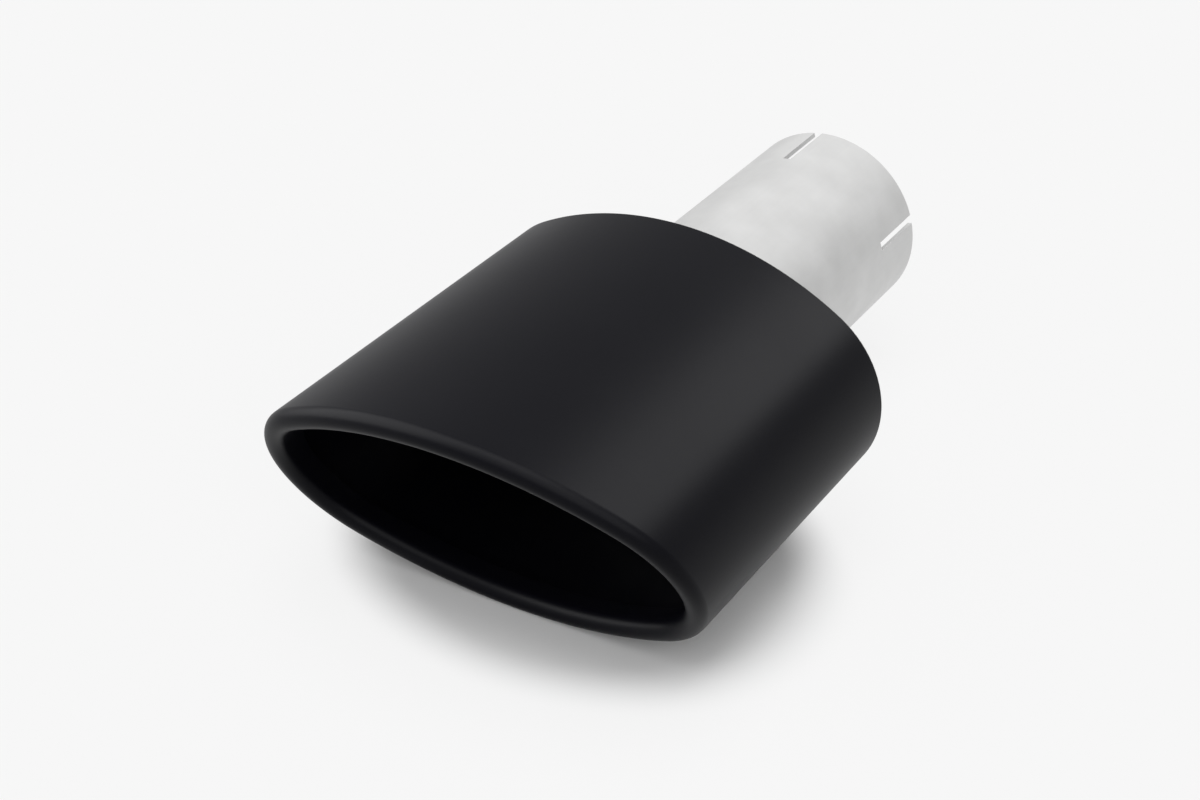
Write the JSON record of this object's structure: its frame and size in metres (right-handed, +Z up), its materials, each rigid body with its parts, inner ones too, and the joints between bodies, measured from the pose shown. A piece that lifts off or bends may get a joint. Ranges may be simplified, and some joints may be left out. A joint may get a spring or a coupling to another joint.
{
  "type": "exhaust tailpipe",
  "caption": "Oval exhaust tailpipe: black-coated shell with a slanted, rolled-lip mouth, welded to a slotted steel inlet tube that clamps onto a car's exhaust pipe.",
  "frame": {"origin": "centre of the inlet tube's open end", "axes": "+Y along the tube, the way the car's own pipe leaves; the outlet faces -Y; +Z up, square to the oval's broad side"},
  "size_m": [0.128, 0.2125, 0.08],
  "materials": {
    "black_coat": "satin black heat-resistant coating",
    "bare_steel": "matt, blasted stainless steel"
  },
  "bodies": {
    "root": {"oval_shell": "black_coat", "rear_plate": "black_coat", "rim_weld": "black_coat", "tube_weld": "black_coat", "inlet_tube": "bare_steel"}
  },
  "joints": []
}
